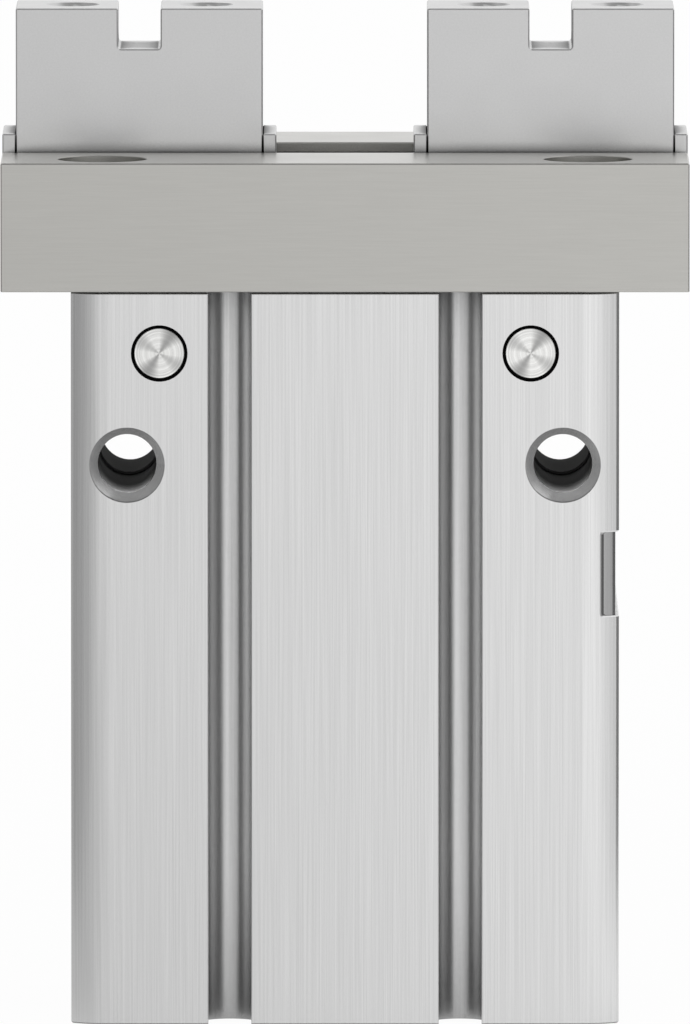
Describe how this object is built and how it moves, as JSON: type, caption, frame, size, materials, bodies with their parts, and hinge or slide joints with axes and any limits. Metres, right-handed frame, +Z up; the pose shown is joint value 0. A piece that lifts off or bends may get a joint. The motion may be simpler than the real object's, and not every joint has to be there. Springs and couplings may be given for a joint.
{
  "type": "parallel gripper",
  "caption": "Small pneumatic parallel gripper: aluminium body with sensor slots, steel ball guide on top and sliding jaws that a piston opens and closes through levers.",
  "frame": {"origin": "middle of the base face", "axes": "+Z up from the base to the jaws, +X along the jaw travel towards the recessed side, front face at -Y"},
  "size_m": [0.038, 0.0236, 0.0556],
  "materials": {
    "anodised_aluminium": "satin natural anodised extrusion",
    "ground_steel": "ground, lightly satin",
    "jaw_steel": "fine ground stainless",
    "turned_steel": "turned face, ground shank",
    "bearing_steel": "polished bearing balls",
    "screw_steel": "plain steel fastener",
    "spring_steel": "phosphated spring steel",
    "lever_steel": "hardened steel",
    "machined_aluminium": "turned",
    "bronze": "sintered bushing",
    "black_rubber": "moulded nitrile",
    "magnet": "plastic-bonded ferrite"
  },
  "bodies": {
    "housing": {"body_housing": "anodised_aluminium", "guide_rail": "ground_steel", "guide_screws": "screw_steel", "left_pivot_pin": "turned_steel", "right_pivot_pin": "turned_steel", "pin_seal_rings": "black_rubber", "rod_bush": "bronze", "rod_seal": "black_rubber", "seal_retainer": "ground_steel", "upper_bumper": "black_rubber", "lower_bumper": "black_rubber", "end_cap": "machined_aluminium", "end_cap_seal": "black_rubber", "retaining_ring": "spring_steel"},
    "piston_group": {"piston_rod": "lever_steel", "piston": "machined_aluminium", "piston_seal": "black_rubber", "magnet_ring": "magnet", "piston_screw": "screw_steel"},
    "left_jaw_group": {"left_jaw": "jaw_steel", "left_outer_cap": "jaw_steel", "left_inner_cap": "jaw_steel", "left_cap_screws": "screw_steel"},
    "left_balls": {"left_ball_rows": "bearing_steel"},
    "left_crank": {"left_lever": "lever_steel"},
    "right_jaw_group": {"right_jaw": "jaw_steel", "right_outer_cap": "jaw_steel", "right_inner_cap": "jaw_steel", "right_cap_screws": "screw_steel"},
    "right_balls": {"right_ball_rows": "bearing_steel"},
    "right_crank": {"right_lever": "lever_steel"}
  },
  "joints": [
    {"name": "piston_slide", "type": "slide", "parent": "housing", "child": "piston_group", "axis": [0, 0, 1], "range_m": [-0.00333, 0]},
    {"name": "left_jaw_slide", "type": "slide", "parent": "housing", "child": "left_jaw_group", "axis": [1, 0, 0], "range_m": [0, 0.003]},
    {"name": "left_ball_roll", "type": "slide", "parent": "housing", "child": "left_balls", "axis": [1, 0, 0], "range_m": [0, 0.0015]},
    {"name": "left_lever_pivot", "type": "hinge", "parent": "housing", "child": "left_crank", "pos_m": [-0.01022, 0, 0.03712], "axis": [0, 1, 0], "range_deg": [0, 26]},
    {"name": "right_jaw_slide", "type": "slide", "parent": "housing", "child": "right_jaw_group", "axis": [-1, 0, 0], "range_m": [0, 0.003]},
    {"name": "right_ball_roll", "type": "slide", "parent": "housing", "child": "right_balls", "axis": [-1, 0, 0], "range_m": [0, 0.0015]},
    {"name": "right_lever_pivot", "type": "hinge", "parent": "housing", "child": "right_crank", "pos_m": [0.01022, 0, 0.03712], "axis": [0, -1, 0], "range_deg": [0, 26]}
  ],
  "couplings": [
    {"joint": "left_jaw_slide", "follows": "piston_slide", "ratio": -0.90109},
    {"joint": "left_ball_roll", "follows": "piston_slide", "ratio": -0.45054},
    {"joint": "left_lever_pivot", "follows": "piston_slide", "rad_per_m": -136.3},
    {"joint": "right_jaw_slide", "follows": "piston_slide", "ratio": -0.90109},
    {"joint": "right_ball_roll", "follows": "piston_slide", "ratio": -0.45054},
    {"joint": "right_lever_pivot", "follows": "piston_slide", "rad_per_m": -136.3}
  ]
}
